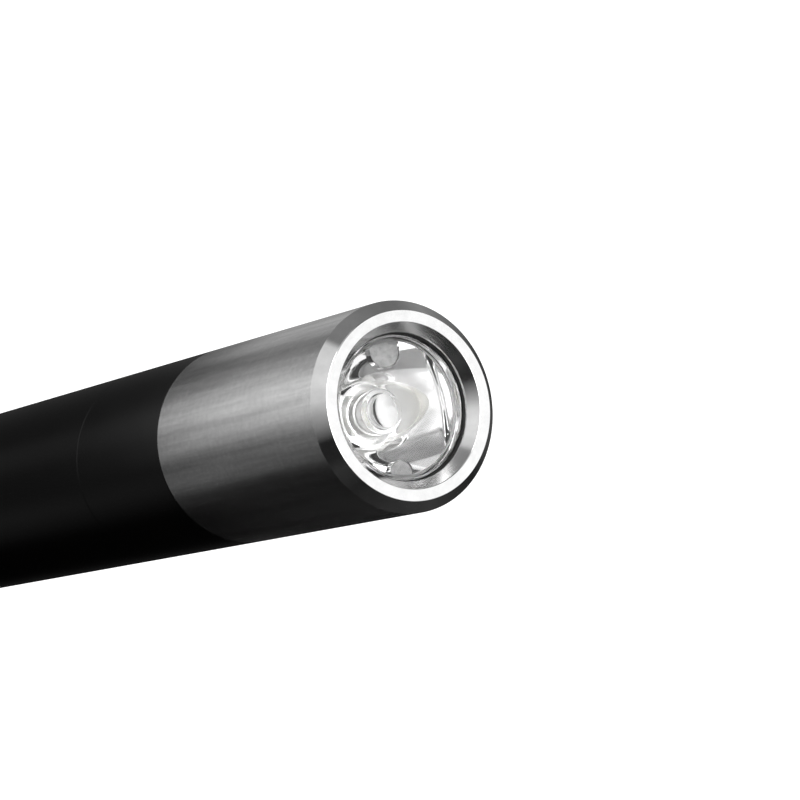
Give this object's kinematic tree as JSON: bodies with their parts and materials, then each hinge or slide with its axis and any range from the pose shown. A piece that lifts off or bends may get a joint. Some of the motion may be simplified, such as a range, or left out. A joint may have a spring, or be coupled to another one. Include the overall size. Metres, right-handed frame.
{
  "type": "penlight",
  "caption": "Slim round pocket torch with a bright turned head, a clear collimating optic, a dark barrel, a pocket clip and a push-button tail cap.",
  "frame": {"origin": "centre of the tail cap's end face, on the axis", "axes": "+Z along the axis from the tail to the head, the way the beam leaves; +X towards the pocket clip"},
  "size_m": [0.0165, 0.0146, 0.138],
  "materials": {
    "bright_aluminium": "turned, finely brushed round the axis, with a polished face ring",
    "black_anodised": "satin black anodised",
    "clear_optic": "clear polished acrylic",
    "white_plastic": "moulded white",
    "coated_plastic": "moulded, with a bright metallic coating",
    "dark_rubber": "matt black rubber",
    "led_dome": "clear silicone over pale phosphor",
    "white_ceramic": "matt white ceramic",
    "white_board": "bright reflective top on a metal core",
    "green_board": "green solder mask",
    "black_chip": "moulded chips",
    "plain_aluminium": "as turned",
    "brass_part": "as turned",
    "gold_spring": "gold-plated spring wire",
    "steel_spring": "bright spring wire",
    "red_wire": "insulated wire",
    "cell_can": "nickel-plated",
    "cell_jacket": "shrunk plastic film",
    "clip_steel": "polished spring steel",
    "black_plastic": "moulded black",
    "black_rubber_button": "matt moulded rubber"
  },
  "bodies": {
    "barrel": {"head_bezel": "bright_aluminium", "lens_gasket": "dark_rubber", "tir_lens": "clear_optic", "lens_holder": "coated_plastic", "led_dome": "led_dome", "led_base": "white_ceramic", "led_board": "white_board", "heat_sink": "plain_aluminium", "lead_wires": "red_wire", "driver_board": "green_board", "driver_parts": "black_chip", "driver_ring": "brass_part", "front_contact_spring": "gold_spring", "head_seal": "dark_rubber", "head_collar": "black_anodised", "collar_seal": "dark_rubber", "barrel": "black_anodised", "front_cell_can": "cell_can", "front_cell_jacket": "cell_jacket", "rear_cell_can": "cell_can", "rear_cell_jacket": "cell_jacket", "tail_seal": "dark_rubber"},
    "clip": {"pocket_clip": "clip_steel"},
    "tail_spring": {"tail_spring": "gold_spring"},
    "tail_cap": {"tail_cap": "black_anodised", "tail_ring": "brass_part", "tail_board": "green_board", "switch_base": "black_plastic", "switch_contact": "brass_part", "switch_spring": "steel_spring", "switch_housing": "black_plastic"},
    "button": {"tail_button": "black_rubber_button", "switch_plunger": "white_plastic"}
  },
  "joints": [
    {"name": "tail_cap_travel", "type": "slide", "parent": "barrel", "child": "tail_spring", "axis": [0, 0, -1], "range_m": [0, 0.005], "deforming": ["tail_spring"]},
    {"name": "tail_cap_turn", "type": "hinge", "parent": "tail_spring", "child": "tail_cap", "pos_m": [0, 0, 0.012], "axis": [0, 0, -1], "range_deg": [0, 1800]},
    {"name": "button_press", "type": "slide", "parent": "tail_cap", "child": "button", "axis": [0, 0, 1], "range_m": [0, 0.0015], "stiffness_N_per_m": 1000, "deforming": ["switch_spring"]},
    {"name": "clip_swivel", "type": "hinge", "parent": "barrel", "child": "clip", "pos_m": [0, 0, 0.0305], "axis": [0, 0, 1], "continuous": true}
  ],
  "couplings": [
    {"joint": "tail_cap_travel", "follows": "tail_cap_turn", "m_per_rad": 0.00015915}
  ]
}
